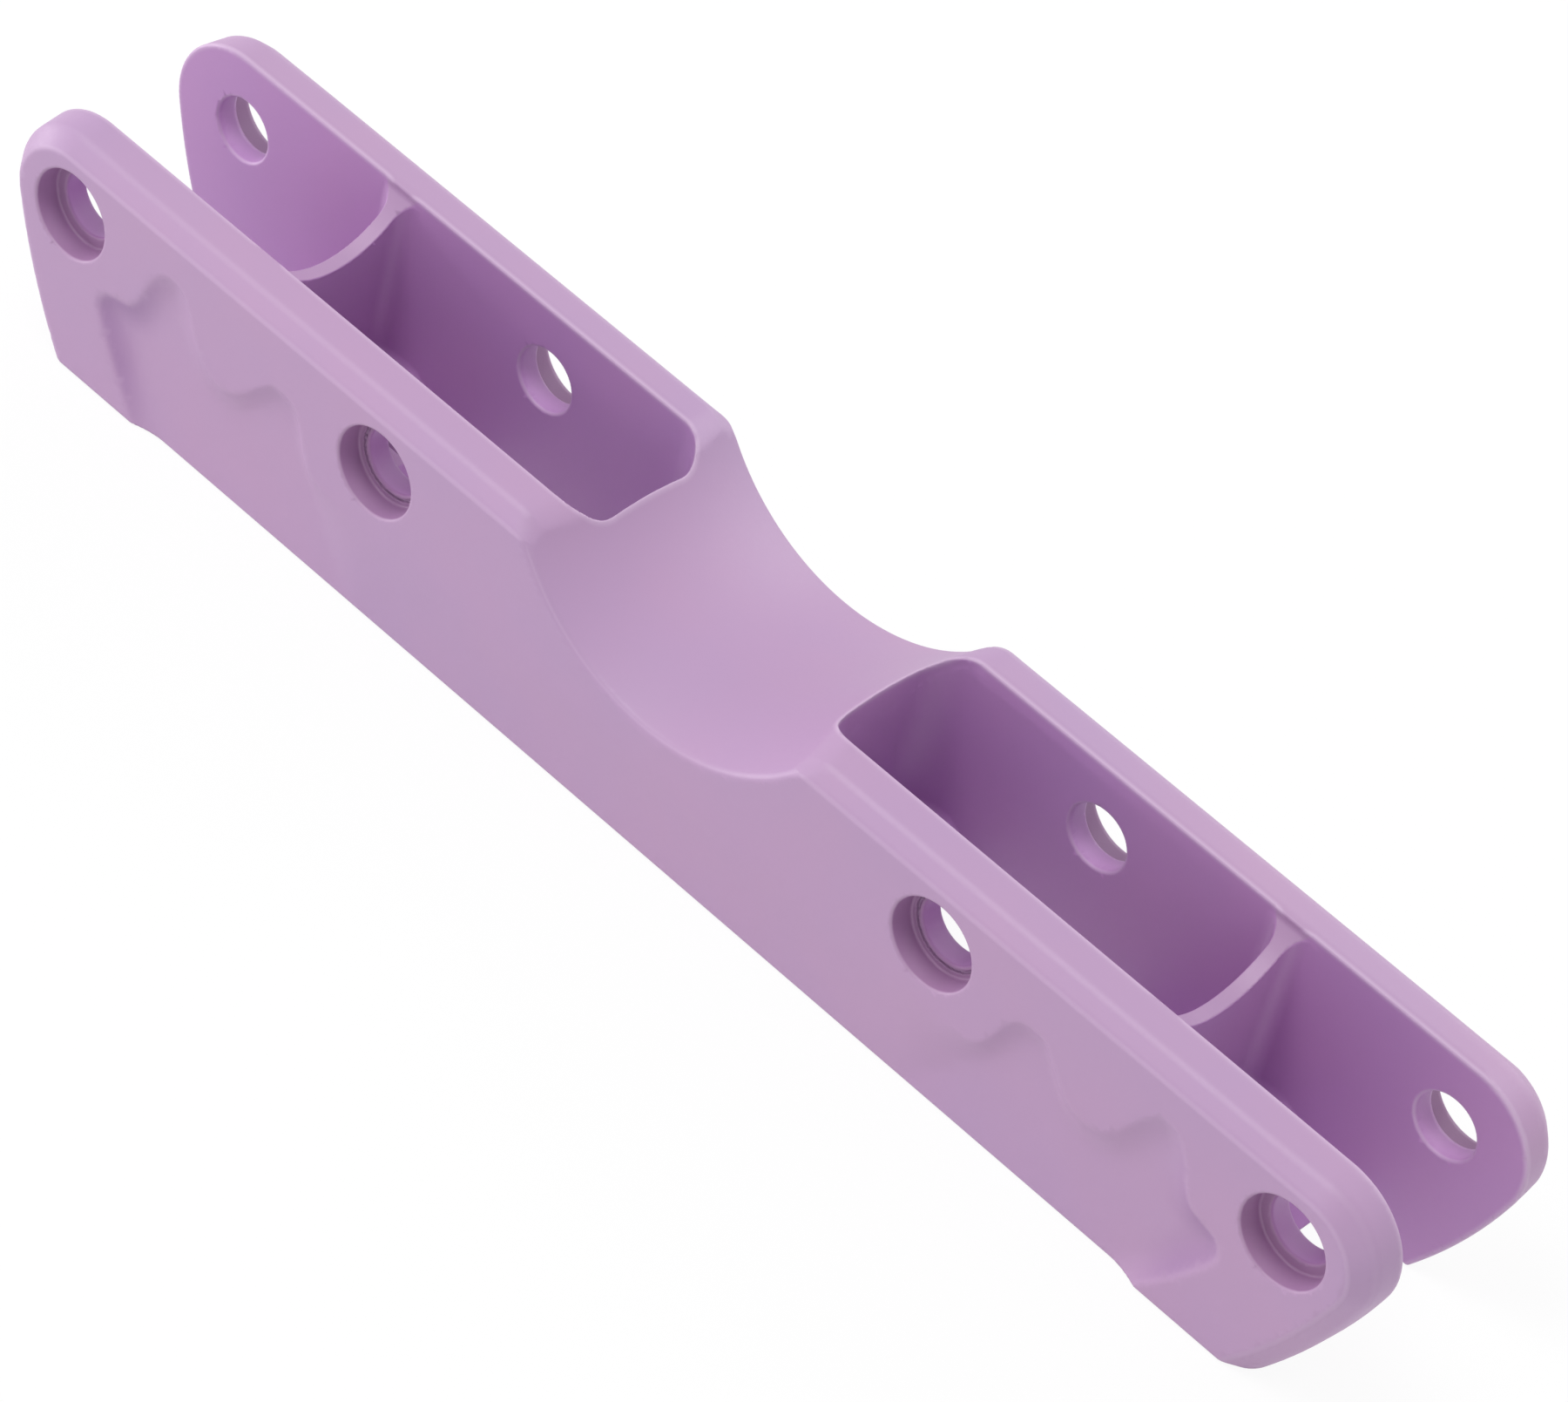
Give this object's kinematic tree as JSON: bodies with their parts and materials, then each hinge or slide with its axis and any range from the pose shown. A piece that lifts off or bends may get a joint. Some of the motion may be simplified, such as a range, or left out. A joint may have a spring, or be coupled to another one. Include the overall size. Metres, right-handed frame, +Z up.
{
  "type": "inline skate frame",
  "caption": "Bare moulded inline skate frame: parallel walls with axle bores, cross webs, a central grind saddle, open wheel slots, and captive nuts for the boot bolts in its flat sole.",
  "frame": {"origin": "middle of the sole", "axes": "+X along the frame, towards the end at the lower right of the picture; +Y across it, away from the picture's near wall; +Z up from the sole to the wheel side"},
  "size_m": [0.2566, 0.0406, 0.038],
  "materials": {
    "frame_plastic": "satin lavender moulding",
    "nut_steel": "zinc plated"
  },
  "bodies": {
    "root": {"frame_moulding": "frame_plastic", "front_mount_nut": "nut_steel", "rear_mount_nut": "nut_steel"}
  },
  "joints": []
}
